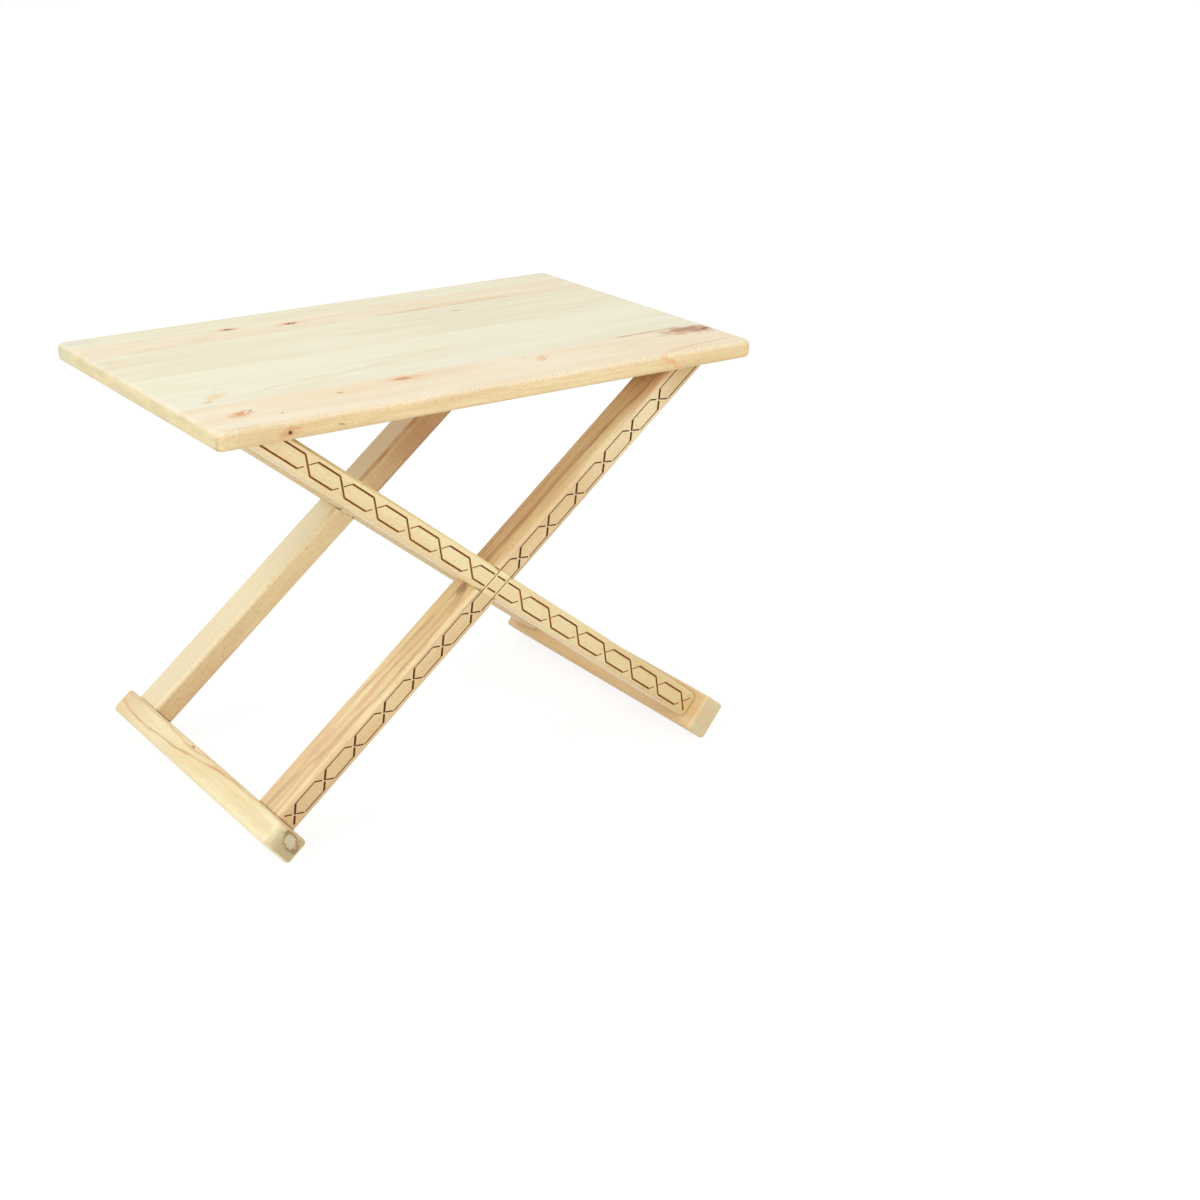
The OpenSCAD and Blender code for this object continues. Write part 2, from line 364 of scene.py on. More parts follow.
class Grain(Finish):
    """Solid wood. Places and sizes in it are millimetres along, across and through the grain."""

    def __init__(self, name, space, pale, deep, pith, ring=3.4, ring_depth=0.5, seed=0.0):
        super().__init__(name)
        object_place = self.coordinates.outputs["Object"]
        self.place = self.node("ShaderNodeMapping", {"Vector": object_place, **space}).outputs[0]
        axes = self.parts(self.place)
        end_place = self.node("ShaderNodeCombineXYZ", {0: axes[1], 1: axes[2]}).outputs[0]
        side_place = self.node("ShaderNodeCombineXYZ", {0: axes[0], 1: axes[2]}).outputs[0]
        self.faces = {"top": self.place, "end": end_place, "side": side_place}
        flip = math.copysign(1.0, space["Scale"][0])
        turned = {"Vector": self.coordinates.outputs["Normal"], "Rotation": space["Rotation"]}
        turned["Scale"] = (flip, 1.0, 1.0)
        facing = self.node("ShaderNodeMapping", turned, vector_type="VECTOR")
        along_facing = self.parts(facing.outputs[0])[0]
        self.end_grain = self.ramp(self.math("ABSOLUTE", along_facing), 0.75, 0.97)
        self.shift = tuple(seed * step for step in SEED_STEP)
        self.late = self.rings(pith, ring)
        self.fibre = self.stretched_noise(FIBRE_STRETCH, 3.0, 0.6)
        self.tint = self.stretched_noise(TINT_STRETCH, 2.0, 0.55)
        figure = self.math("MULTIPLY", self.late, ring_depth)
        figure = self.math("ADD", figure, self.ramp(self.tint, 0.33, 0.68, 0.0, 0.6))
        figure = self.math("ADD", figure, self.ramp(self.fibre, 0.3, 0.7, -0.12, 0.16), clamp=True)
        self.pale = pale
        self.colour = self.mix(figure, pale, deep)
        self.hollow = self.math("MULTIPLY", self.fibre, 0.6)

    def stretched_noise(self, stretch, detail, roughness):
        shifted = self.vector("ADD", self.place, self.shift)
        return self.noise(self.vector("MULTIPLY", shifted, stretch), detail, roughness)

    def bent(self):
        """Space with the slow waves of a grown trunk, so that nothing in it runs dead straight."""
        shifted = self.vector("ADD", self.place, self.shift)
        slow = self.waves(self.vector("MULTIPLY", shifted, BEND_STRETCH))
        return self.vector("ADD", self.place, self.vector("MULTIPLY", slow, BEND_BY))

    def rings(self, pith, ring):
        """Dark at each year's end and fading back through the year, with years of uneven strength."""
        from_pith = self.vector("SUBTRACT", self.bent(), (0, pith[0], pith[1]))
        flat = self.vector("MULTIPLY", from_pith, (0, 1, 1))
        years = self.math("DIVIDE", self.measure("LENGTH", flat), ring)
        wander = {"W": years, "Scale": YEARS_WANDER}
        wander = self.node("ShaderNodeTexNoise", wander, noise_dimensions="1D").outputs[0]
        years = self.math("ADD", years, wander)
        within = self.math("FRACT", years)
        year = {"W": self.math("FLOOR", years)}
        chance = self.node("ShaderNodeTexWhiteNoise", year, noise_dimensions="1D").outputs[0]
        rise = self.math("POWER", within, 2.5)
        line = self.math("MULTIPLY", rise, self.ramp(within, 0.9, 1.0, 1.0, 0.0))
        return self.math("MULTIPLY", line, self.ramp(chance, 0.0, 1.0, WEAKEST_YEAR, 1.0))

    def along(self, *steps):
        """A ramp between two places along the grain; the next two run across and through it."""
        return self.ramp(self.parts(self.place)[0], *steps)

    def across(self, *steps):
        return self.ramp(self.parts(self.place)[1], *steps)

    def through(self, *steps):
        return self.ramp(self.parts(self.place)[2], *steps)


# %% [markdown]
# ## Marks on the wood
#
# A board's own marks could be painted on a texture by hand. Here each is a mask and a colour, mixed in one
# after the other, so a mark is moved or toned by changing a number. `patch` is a ragged oval and
# `outlined` only its rim. One call covers the grain with its colour, as resin and heartwood do, and another
# multiplies, so the grain stays, as where a part is only darker in tone. The two also paint light and
# shade:
# painted shade on the seat's edges, and on the legs painted highlights, painted shade under the seat and
# painted shadow in the joints. The short brown flecks of beech are stretched cells of a Voronoi pattern, of
# which a chance share is kept.

# %% Spots and flecks
RIM_NOISE = (0.1, 0.25, 0)


class SpottedWood(Grain):
    """Wood that takes stains, dyes, flecks and spots."""

    # covers the grain with a colour: real marks, and also painted light and shade
    def stain_and_light(self, mask, colour, strength=1.0):
        self.colour = self.mix(self.math("MULTIPLY", mask, strength), self.colour, colour)

    # also used for painted highlights and painted shade
    def dye_and_light(self, mask, colour, strength=1.0):
        """Turns the wood's own pale tone into the colour and keeps the grain on it."""
        share = [new / old for new, old in zip(colour[:3], self.pale[:3])] + [1.0]
        self.colour = self.mix(self.math("MULTIPLY", mask, strength), self.colour, share, "MULTIPLY")

    def flecks(self, colour, strength=0.5, length=3.2, width=0.75, kept=0.5, mask=None):
        """The short dark dashes of beech, lying with the grain."""
        shifted = self.vector("ADD", self.place, self.shift)
        cells = self.vector("MULTIPLY", shifted, (1 / length, 1 / width, 1 / width))
        inputs = {"Vector": cells, "Scale": 0.8, "Randomness": 0.9}
        dash = self.node("ShaderNodeTexVoronoi", inputs, feature="F1")
        shape = self.ramp(dash.outputs["Distance"], 0.16, 0.3, 1.0, 0.0)
        chance = self.parts(dash.outputs["Color"])[0]
        shape = self.math("MULTIPLY", shape, self.ramp(chance, 1 - kept, 1.05 - kept))
        if mask is not None:
            shape = self.math("MULTIPLY", shape, mask)
        self.stain_and_light(shape, colour, strength)
        self.hollow = self.math("SUBTRACT", self.hollow, self.math("MULTIPLY", shape, 0.5))

    def reach(self, centre, size, lean, ragged, face):
        """1 on the rim of a ragged oval on the face, 0 in its middle. Sizes are whole widths."""
        away = self.vector("SUBTRACT", self.faces[face], (centre[0], centre[1], 0))
        shifted = self.vector("ADD", self.faces[face], (centre[0], 3 * centre[1], 0))
        rough = self.waves(self.vector("MULTIPLY", shifted, RIM_NOISE))
        spread = (ragged * size[0] * 2, ragged * size[1] * 2, 0)
        away = self.vector("ADD", away, self.vector("MULTIPLY", rough, spread))
        turn = {"Vector": away, "Rotation": (0, 0, math.radians(-lean))}
        turned = self.node("ShaderNodeMapping", turn).outputs[0]
        return self.measure("LENGTH", self.vector("MULTIPLY", turned, (2 / size[0], 2 / size[1], 0)))

    def patch(self, centre, size, lean=0.0, ragged=0.35, face="top"):
        """Mask of a spot: place and size along and across the grain, leaning by degrees."""
        return self.ramp(self.reach(centre, size, lean, ragged, face), 0.25, 1.0, 1.0, 0.0)

    def outlined(self, centre, size, lean=0.0, ragged=0.35, face="top"):
        """Mask of a spot's rim alone."""
        off = self.math("SUBTRACT", self.reach(centre, size, lean, ragged, face), 1.0)
        return self.ramp(self.math("ABSOLUTE", off), 0.04, 0.24, 1.0, 0.0)

    def spot(self, centre, size, colour, strength, **shape):
        """Stains one ragged oval."""
        self.stain_and_light(self.patch(centre, size, **shape), colour, strength)


# %% [markdown]
# Lines of heartwood and the arches of a flat-sawn board run with the grain and wander across it. A Float
# Curve node can hold such a line: it takes how far along the line a place is, from 0 to 1, and gives how
# far across the line lies there. A slow noise widens and thins it. A knot is three spots and a slit.
# Last of all comes the end grain, which soaks up more finish, in blotches, and shows the years.

# %% Wood
GREY_END = srgb(212, 206, 162)
KNOT_SLIT = srgb(226, 216, 204)
LINE_WOBBLE = 0.8


class Wood(SpottedWood):
    """Wood with lines and knots, and the clear finish that ends it."""

    def __init__(self, *given, **settings):
        super().__init__(*given, **settings)
        self.end_marks = []

    def streak(self, points, width, fade=12.0):
        """Mask of a smooth line through points along the grain, with soft and uneven ends."""
        points = sorted(points)
        start, end = points[0][0], points[-1][0]
        low = min(y for x, y in points) - 1
        high = max(y for x, y in points) + 1
        axes = self.parts(self.place)
        share = self.math("DIVIDE", self.math("SUBTRACT", axes[0], start), end - start, clamp=True)
        path = self.node("ShaderNodeFloatCurve", {"Value": share})
        line = path.mapping.curves[0]
        for x, y in points[1:-1]:
            line.points.new((x - start) / (end - start), (y - low) / (high - low))
        line.points[0].location = (0, (points[0][1] - low) / (high - low))
        line.points[-1].location = (1, (points[-1][1] - low) / (high - low))
        path.mapping.update()
        wobble = self.stretched_noise((0.03, 0.12, 0.0), 1.0, 0.5)
        wobble = self.ramp(wobble, 0.3, 0.7, -LINE_WOBBLE, LINE_WOBBLE)
        middle = self.math("ADD", self.math("MULTIPLY", path.outputs[0], high - low), wobble)
        off = self.math("SUBTRACT", axes[1], self.math("ADD", middle, low))
        mask = self.ramp(self.math("ABSOLUTE", off), 0.1 * width, width, 1.0, 0.0)
        mask = self.math("MULTIPLY", mask, self.ramp(axes[0], start - fade / 2, start + fade / 2))
        mask = self.math("MULTIPLY", mask, self.ramp(axes[0], end + fade / 2, end - fade / 2))
        uneven = self.stretched_noise((0.02, 0.05, 0.0), 2.0, 0.6)
        return self.math("MULTIPLY", mask, self.ramp(uneven, 0.35, 0.6, 0.45, 1.0))

    def knot(self, centre, size, halo, core, core_share=0.3):
        """A knot cut across: a coloured halo drawn out along the grain, and a dark heart."""
        self.spot(centre, (size[0] * 1.5, size[1] * 1.2), halo, 0.4)
        self.spot(centre, (size[0] * 0.7, size[1] * 0.8), halo, 0.85)
        heart = (size[0] * core_share, size[1] * core_share)
        self.spot(centre, heart, core, 1.0, ragged=0.2)
        slit = (heart[0] * 0.35, heart[1] * 0.5)
        self.spot((centre[0] + 1, centre[1]), slit, KNOT_SLIT, 0.8, lean=60, ragged=0.1)

    def finished(self, end_colour, roughness=0.45, relief=0.00006, gloss=0.35):
        """Ends the tree: blotchy end grain, fibres and flecks as relief, and a matt clear finish."""
        blotch = self.stretched_noise((0.05, 0.022, 0.09), 3.0, 0.6)
        cut = self.mix(self.ramp(blotch, 0.4, 0.62, 0.0, 0.85), end_colour, GREY_END)
        cut = self.mix(self.ramp(self.late, 0.05, 0.6, 0.0, 0.8), cut, self.colour)
        self.stain_and_light(self.end_grain, cut, 0.9)
        for mask, colour, strength in self.end_marks:
            self.stain_and_light(self.math("MULTIPLY", mask, self.end_grain), colour, strength)
        dull = self.ramp(self.fibre, 0.3, 0.7, roughness - 0.07, roughness + 0.09)
        return self.surface(self.colour, dull, self.hollow, relief, gloss)


# %% [markdown]
# ## From CAD solid to finished piece
#
# A CAD mesh arrives as loose triangles. To become a joiner's piece, its copy is merged at the corners,
# flat neighbours are joined into whole faces, and shading is smoothed over the round edges while flat
# faces stay flat, which is what weighted normals do. Where something is cut out of it, an exact Boolean
# does that, which is slower than the other kinds but copes with faces that lie flush. Each modifier's
# result becomes the piece's own mesh at once. The CAD object itself is never touched: the new piece
# replaces it in the picture.

# %% Piece helpers
SAME_CORNER = 0.002
FLAT_BELOW = math.radians(0.4)
SMOOTH_BELOW = math.radians(32)


def copy_of(node, name, material):
    """An object with a merged copy of a CAD node's mesh, in this material."""
    mesh = frame["nodes"][node].data.copy()
    mesh.name = name
    mesh.materials.clear()
    mesh.materials.append(material)
    form = bmesh.new()
    form.from_mesh(mesh)
    bmesh.ops.remove_doubles(form, verts=form.verts, dist=SAME_CORNER * MM)
    bmesh.ops.dissolve_limit(form, angle_limit=FLAT_BELOW, verts=form.verts, edges=form.edges)
    form.to_mesh(mesh)
    form.free()
    piece = bpy.data.objects.new(name, mesh)
    scene.collection.objects.link(piece)
    return piece


def made_plain(piece):
    """Turns what the modifiers give into the piece's own mesh."""
    seen_mesh = piece.evaluated_get(bpy.context.evaluated_depsgraph_get())
    mesh = bpy.data.meshes.new_from_object(seen_mesh)
    old = piece.data
    piece.modifiers.clear()
    piece.data = mesh
    bpy.data.meshes.remove(old)
    return piece


def cut_out(piece, shape, **settings):
    """Takes the shape out of the piece with an exact Boolean."""
    cut = piece.modifiers.new("cut", "BOOLEAN")
    cut.operation = "DIFFERENCE"
    cut.solver = "EXACT"
    cut.object = shape
    for name, value in settings.items():
        setattr(cut, name, value)
    return made_plain(piece)


def run_tree(piece, tree, values):
    """The piece becomes what a geometry tree makes of it, with these values for its named inputs."""
    modifier = piece.modifiers.new(tree.name, "NODES")
    modifier.node_group = tree
    for item in tree.interface.items_tree:
        if item.in_out == "INPUT" and item.name in values:
            modifier[item.identifier] = values[item.name]
    return made_plain(piece)


def smooth(piece):
    """Smooth shading over the round edges, flat on the flats."""
    for face in piece.data.polygons:
        face.use_smooth = True
    piece.data.set_sharp_from_angle(angle=SMOOTH_BELOW)
    weighted = piece.modifiers.new("weighted normals", "WEIGHTED_NORMAL")
    weighted.keep_sharp = True
    weighted.weight = 100
    return made_plain(piece)


def stand_for(piece, node):
    """The piece takes the node's place in the picture, and its body."""
    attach(piece, frame["nodes"][node]["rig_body"])
    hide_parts(node)
    print("made", piece.name, len(piece.data.polygons), "faces")


# %% [markdown]
# ## The seat board
#
# Six planks, each from another tree or another part of it, so each gets its own tint, pith and features.
# The edges, sides and underside are painted warmer and darker than the top: painted shade. Knots and
# streaks are put where the real board has them, in millimetres from the middle of the seat.

# %% Seat colours
SEAT_TOP_Z = 448
# painted shade: the colours of the seat's edges, sides and underside, darker and warmer than the top
SHADED_EDGE_DEEP = srgb(228, 196, 142)
SHADED_EDGE_PALE = srgb(244, 220, 168)
SHADED_EDGE_FIBRE = srgb(214, 172, 114)
END_GRAIN = srgb(238, 222, 172)
BACK_END_GRAIN = srgb(223, 219, 184)
KNOT_HALO = srgb(222, 146, 72)
KNOT_HEART = srgb(74, 40, 20)
GLUE_LINE = srgb(200, 176, 140)
CATHEDRAL = srgb(222, 198, 146)


# %% Plank wood
PLANK_NAMES = ["front_plank", "second_plank", "third_plank", "fourth_plank", "fifth_plank", "back_plank"]
plank_finishes = []


def plank_wood(number, pale, deep, pith, glue_lines, ring_depth=0.42):
    name = PLANK_NAMES[number - 1] + "_wood"
    wood = Wood(name, ALONG_SEAT, pale, deep, pith, ring_depth=ring_depth, seed=number)
    across = wood.parts(wood.place)[1]
    for line in glue_lines:
        off = wood.math("ABSOLUTE", wood.math("SUBTRACT", across, line))
        wood.stain_and_light(wood.ramp(off, 0.15, 0.6, 1.0, 0.0), GLUE_LINE, 0.35)
    return wood


def painted_shade_on_edges(wood):
    """Painted shade below the top: the rounded edges, the sides and the underside warmer and darker."""
    below = wood.through(SEAT_TOP_Z - 5.5, SEAT_TOP_Z - 0.3, 1.0, 0.0)
    edge = wood.mix(wood.ramp(wood.tint, 0.35, 0.7), SHADED_EDGE_PALE, SHADED_EDGE_DEEP)
    edge = wood.mix(wood.math("MULTIPLY", wood.late, 0.5), edge, SHADED_EDGE_DEEP)
    edge = wood.mix(wood.ramp(wood.fibre, 0.45, 0.65, 0.0, 0.35), edge, SHADED_EDGE_FIBRE)
    wood.stain_and_light(below, edge, 0.9)


# %% Front plank
front_wood = plank_wood(1, srgb(246, 234, 204), srgb(240, 219, 182), (-150, 395), [-116])
# a rosy sweep with a brown eye in its middle
front_wood.spot((-110, -135), (330, 50), srgb(244, 218, 178), 0.55)
front_wood.spot((-30, -131), (160, 26), srgb(238, 206, 172), 0.4)
front_wood.spot((-72, -130), (60, 22), srgb(236, 188, 134), 0.7)
front_wood.spot((-73, -130), (28, 11), srgb(206, 136, 80), 0.85)
front_wood.spot((-147, -141), (13, 8), srgb(212, 142, 74), 0.85)
# a leaning knot near the left end, pale in its middle and dark beside it
front_wood.spot((-256, -154), (42, 24), srgb(236, 176, 118), 0.75, lean=25)
front_wood.spot((-253, -153), (24, 12), srgb(216, 144, 84), 0.8, lean=30)
front_wood.spot((-248, -151), (14, 5), srgb(250, 244, 228), 0.9, lean=45)
front_wood.spot((-243, -149), (9, 4), srgb(110, 84, 66), 0.85, lean=60)
# small marks along the plank
front_wood.spot((80, -141), (34, 15), srgb(236, 176, 122), 0.8, lean=52)
front_wood.spot((83, -138), (9, 4), srgb(252, 240, 216), 0.8, lean=60)
front_wood.spot((66, -128), (11, 3), srgb(182, 156, 136), 0.7)
front_wood.spot((-222, -172), (5, 4), srgb(110, 78, 56), 0.9)
front_wood.spot((-147, -176), (5, 3), srgb(196, 136, 90), 0.6)
# brown heartwood at the right end, with a black spot
front_wood.spot((274, -129), (110, 44), srgb(204, 152, 108), 0.85)
front_wood.spot((268, -124), (70, 18), srgb(168, 104, 66), 0.7)
front_wood.spot((280, -134), (44, 14), srgb(172, 108, 76), 0.6)
front_wood.spot((288, -133), (12, 7), srgb(52, 40, 40), 0.95, lean=30)
curl = [(186, -200), (200, -192), (222, -186), (250, -182), (300, -178)]
front_wood.stain_and_light(front_wood.streak(curl, 4.0), srgb(230, 170, 116), 0.5)
front_wood.spot((236, -192), (120, 14), srgb(240, 206, 160), 0.5)
painted_shade_on_edges(front_wood)

# %% Front plank's long side
front_side = front_wood.across(-190, -196)


def on_front_side(centre, size, colour, strength, **shape):
    """A mark on the long side that looks to the front: centre along the stool and above the floor."""
    spot = front_wood.patch(centre, size, face="side", **shape)
    front_wood.stain_and_light(front_wood.math("MULTIPLY", front_side, spot), colour, strength)


on_front_side((-262, 438), (110, 40), srgb(224, 200, 150), 0.6)
front_wood.flecks(srgb(206, 142, 88), 0.5, length=5.0, width=0.75, kept=0.8, mask=front_side)
rounding = front_wood.math("MULTIPLY", front_side, front_wood.through(440, 446))
front_wood.flecks(srgb(214, 146, 84), 0.6, length=4.2, width=0.9, kept=0.9, mask=rounding)
# a small dark knot in a brown halo
on_front_side((-229, 437.5), (30, 15), srgb(216, 158, 106), 0.7)
on_front_side((-228.5, 437.4), (6.5, 5.5), srgb(92, 44, 18), 1.0, ragged=0.15)
on_front_side((-177, 436.5), (10, 2.5), srgb(176, 118, 76), 0.8, lean=-14)
on_front_side((197, 438.5), (34, 8), srgb(238, 176, 122), 0.7, lean=-36)
on_front_side((207, 433), (16, 10), srgb(244, 190, 140), 0.6)
on_front_side((-300, 434), (8, 26), srgb(176, 152, 104), 0.7)
plank_finishes.append(front_wood.finished(END_GRAIN))

# %% Second plank
second_wood = plank_wood(2, srgb(242, 237, 213), srgb(236, 226, 192), (-60, 120), [-116, -50], 0.3)
# the branches of a cathedral arch
arch = [(28, -47), (-6, -55), (-33, -62), (-67, -72), (-113, -77), (-157, -80), (-190, -87), (-220, -97)]
second_wood.stain_and_light(second_wood.streak(arch, 4.5, fade=60), CATHEDRAL, 0.42)
side_branch = [(-33, -48), (-52, -57), (-78, -70), (-120, -82), (-176, -100)]
second_wood.stain_and_light(second_wood.streak(side_branch, 5.0, fade=60), CATHEDRAL, 0.3)
# yellow and grey-green spots at the left end
second_wood.spot((-250, -87), (42, 20), srgb(242, 214, 152), 0.8, lean=30)
second_wood.spot((-264, -101), (14, 8), srgb(228, 176, 112), 0.7, lean=20)
second_wood.spot((-238, -65), (16, 4), srgb(206, 200, 150), 0.65)
second_wood.spot((-258, -49.5), (12, 2.4), srgb(170, 160, 110), 0.7)
# heartwood that runs on from the front plank along the glue line
from_front = [(188, -114.6), (230, -114.6), (268, -112)]
second_wood.stain_and_light(second_wood.streak(from_front, 4.0), srgb(172, 112, 74), 0.75)
painted_shade_on_edges(second_wood)
plank_finishes.append(second_wood.finished(END_GRAIN))

# %% Third plank
third_wood = plank_wood(3, srgb(243, 238, 211), srgb(238, 229, 196), (40, -300), [-50, 8], 0.28)
third_wood.spot((-150, -20), (240, 30), srgb(244, 241, 222), 0.5)
third_wood.spot((240, 20), (120, 40), srgb(232, 218, 186), 0.3)
painted_shade_on_edges(third_wood)
plank_finishes.append(third_wood.finished(END_GRAIN))

# %% Fourth plank
fourth_wood = plank_wood(4, srgb(242, 235, 207), srgb(234, 221, 186), (60, 330), [8, 110], 0.34)
fourth_wood.spot((113, 87), (15, 7), srgb(196, 146, 88), 0.85, lean=-15)
fourth_wood.spot((66, 70), (44, 11), srgb(234, 212, 172), 0.75, lean=-8)
fourth_wood.spot((-282, 86), (34, 24), srgb(236, 214, 172), 0.6)
fourth_wood.spot((225, 22), (80, 12), srgb(228, 214, 184), 0.45)
painted_shade_on_edges(fourth_wood)
plank_finishes.append(fourth_wood.finished(END_GRAIN))

# %% Fifth plank
fifth_wood = plank_wood(5, srgb(243, 233, 204), srgb(238, 219, 180), (135, 300), [110, 158], 0.4)
left_line = [(-265, 111), (-200, 119), (-160, 127)]
fifth_wood.stain_and_light(fifth_wood.streak(left_line, 5.0), srgb(236, 206, 160), 0.5)
fifth_wood.knot((-131, 147), (34, 14), KNOT_HALO, KNOT_HEART, 0.42)
fifth_wood.knot((-64, 135), (34, 16), KNOT_HALO, KNOT_HEART, 0.44)
fifth_wood.spot((-20, 139), (110, 14), srgb(240, 214, 168), 0.5)
fifth_wood.spot((155, 117), (220, 22), srgb(230, 202, 156), 0.5)
fifth_wood.spot((150, 113), (270, 8), srgb(226, 186, 132), 0.45)
beside_glue = [(26, 112.8), (60, 112.4), (96, 113.4)]
fifth_wood.stain_and_light(fifth_wood.streak(beside_glue, 4.5), srgb(204, 156, 104), 0.5)
painted_shade_on_edges(fifth_wood)
plank_finishes.append(fifth_wood.finished(END_GRAIN))

# %% Back plank
back_wood = plank_wood(6, srgb(242, 236, 207), srgb(234, 224, 190), (260, 380), [158], 0.34)
back_wood.spot((-280, 182), (60, 30), srgb(222, 218, 196), 0.6)
back_wood.spot((-60, 162), (120, 16), srgb(240, 218, 176), 0.4)
painted_shade_on_edges(back_wood)
plank_finishes.append(back_wood.finished(BACK_END_GRAIN))

# %% Planks
for number, (name, material) in enumerate(zip(PLANK_NAMES, plank_finishes), 1):
    node = f"seat_plank_{number}"
    stand_for(smooth(copy_of(node, name, material)), node)

# %% [markdown]
# ## The engraved chain
#
# Along both front legs runs a chain of long hexagons whose sides cross over and under each other, cut as
# narrow grooves and burnt brown. A bump map would vanish from the side, so the grooves are real: thin
# bars, wider at the top, are taken out of the leg. The chain repeats by a fixed pitch, which makes it a
# job for Geometry Nodes: code draws the strokes of one crossing or one pair of flats, and the tree
# sweeps a section along them and repeats them.

# %% Groove tree
PITCH = 44.1
GROOVE_DEPTH = 0.58
GROOVE_BOTTOM = 0.36
ABOVE_FACE = 0.35


def geometry_kit(name, sockets, result):
    """An empty geometry tree with named inputs, each with its kind, and one named result."""
    tree = bpy.data.node_groups.new(name, "GeometryNodeTree")
    for label, kind in sockets.items():
        tree.interface.new_socket(label, in_out="INPUT", socket_type="NodeSocket" + kind)
    tree.interface.new_socket(result, in_out="OUTPUT", socket_type="NodeSocketGeometry")
    return NodeKit(tree)


def on_every_point(kit, points, shape, material, result, **more):
    """Ends a tree: the shape stands on each point, is made real and gets its material."""
    placed = kit.node("GeometryNodeInstanceOnPoints", {"Points": points, "Instance": shape, **more})
    real = kit.node("GeometryNodeRealizeInstances", {0: placed.outputs[0]})
    painted = kit.node("GeometryNodeSetMaterial", {"Geometry": real.outputs[0], "Material": material})
    kit.node("NodeGroupOutput", {result: painted.outputs[0]})


def groove_tree():
    """Sweeps strokes into groove bars and repeats them along the leg. Widths come with the strokes."""
    sockets = {"Strokes": "Geometry", "First": "Float", "Pitch": "Float", "Count": "Int"}
    kit = geometry_kit("repeated grooves", {**sockets, "Burnt wood": "Material"}, "Grooves")
    given = kit.node("NodeGroupInput").outputs
    line = kit.node("GeometryNodeMeshToCurve", {0: given["Strokes"]})
    upright = kit.node("GeometryNodeSetCurveNormal", {0: line.outputs[0]}, mode="Z_UP")
    width = kit.node("GeometryNodeInputNamedAttribute", {"Name": "groove_width"}, data_type="FLOAT")
    slope = (1 - GROOVE_BOTTOM) / GROOVE_DEPTH
    sizes = {
        "Height": GROOVE_DEPTH + ABOVE_FACE,
        "Bottom Width": 1 + slope * ABOVE_FACE,
        "Top Width": GROOVE_BOTTOM,
        "Offset": 0.0,
    }
    section = kit.node("GeometryNodeCurvePrimitiveQuadrilateral", sizes, mode="TRAPEZOID")
    down = (0, (GROOVE_DEPTH - ABOVE_FACE) / 2, 0)
    lowered = kit.node("GeometryNodeTransform", {"Geometry": section.outputs[0], "Translation": down})
    sweep = {"Curve": upright.outputs[0], "Profile Curve": lowered.outputs[0], "Fill Caps": True}
    swept = kit.node("GeometryNodeCurveToMesh", {**sweep, "Scale": width.outputs["Attribute"]})
    start = kit.node("ShaderNodeCombineXYZ", {"X": given["First"]}).outputs[0]
    step = kit.node("ShaderNodeCombineXYZ", {"X": given["Pitch"]}).outputs[0]
    spacing = {"Count": given["Count"], "Start Location": start, "Offset": step}
    row = kit.node("GeometryNodeMeshLine", spacing)
    on_every_point(kit, row.outputs[0], swept.outputs[0], given["Burnt wood"], "Grooves")
    return kit.tree


grooves = groove_tree()
print("groove tree", len(grooves.nodes), "nodes")


# %% Burnt groove
def burnt_wood(name, space, pale, deep):
    """Scorched wood at the bottom of a groove: brown, streaky along the grain, dull."""
    wood = Wood(name, space, pale, deep, (40, 60), ring=1.4, ring_depth=0.4)
    soot = wood.stretched_noise((0.5, 0.9, 0.9), 2.0, 0.6)
    wood.stain_and_light(wood.ramp(soot, 0.45, 0.7), srgb(76, 46, 22), 0.6)
    return wood.surface(wood.colour, 0.8, soot, 0.00008, gloss=0.2)


left_burnt = burnt_wood("left_burnt_groove", along_leg(LEFT), srgb(172, 112, 54), srgb(132, 78, 32))
right_burnt = burnt_wood("right_burnt_groove", along_leg(RIGHT), srgb(120, 78, 44), srgb(78, 46, 26))

# %% [markdown]
# One stroke is an edge between two points on the leg's face, a and b as above, with a width. The bars
# are made flat and then laid on the leg by one matrix: first axis along the leg, second across it, and
# the third out of its front face.

# %% Strokes
def flat_on_leg(side):
    """Places a drawing of a, b and height on the front face of the leg that rises to that side."""
    along, across = leg_directions(side)
    outwards = Vector((0, -1, 0))
    columns = Matrix((along, across, outwards)).transposed().to_4x4()
    origin = Vector((0, front_face_y * MM, crossing_z * MM))
    return Matrix.Translation(origin) @ columns


def faces_outwards(mesh):
    form = bmesh.new()
    form.from_mesh(mesh)
    bmesh.ops.recalc_face_normals(form, faces=form.faces)
    form.to_mesh(mesh)
    form.free()


def engraved(name, side, strokes, first, count, material):
    """A mesh object of groove bars: the strokes, repeated count times from a = first."""
    points = []
    widths = []
    for start, end, width in strokes:
        points += [(start[0] * MM, start[1] * MM, 0), (end[0] * MM, end[1] * MM, 0)]
        widths += [width * MM, width * MM]
    mesh = bpy.data.meshes.new(name)
    mesh.from_pydata(points, [(2 * i, 2 * i + 1) for i in range(len(strokes))], [])
    attribute = mesh.attributes.new("groove_width", "FLOAT", "POINT")
    attribute.data.foreach_set("value", widths)
    bars = bpy.data.objects.new(name, mesh)
    scene.collection.objects.link(bars)
    values = {"First": first * MM, "Pitch": PITCH * MM, "Count": count, "Burnt wood": material}
    run_tree(bars, grooves, values)
    bars.data.transform(flat_on_leg(side))
    faces_outwards(bars.data)
    return bars


# %% [markdown]
# The chain's pattern, in the leg's a and b: a crossing spans REACH to either side of its middle and joins
# the two long lines, which run at b = HALF and b = -HALF between the crossings. Where the legs cross, one
# long middle link takes the place of a crossing, so the crossings are counted from it, seven down the leg
# and six up, and above the last the two lines run on under the seat.

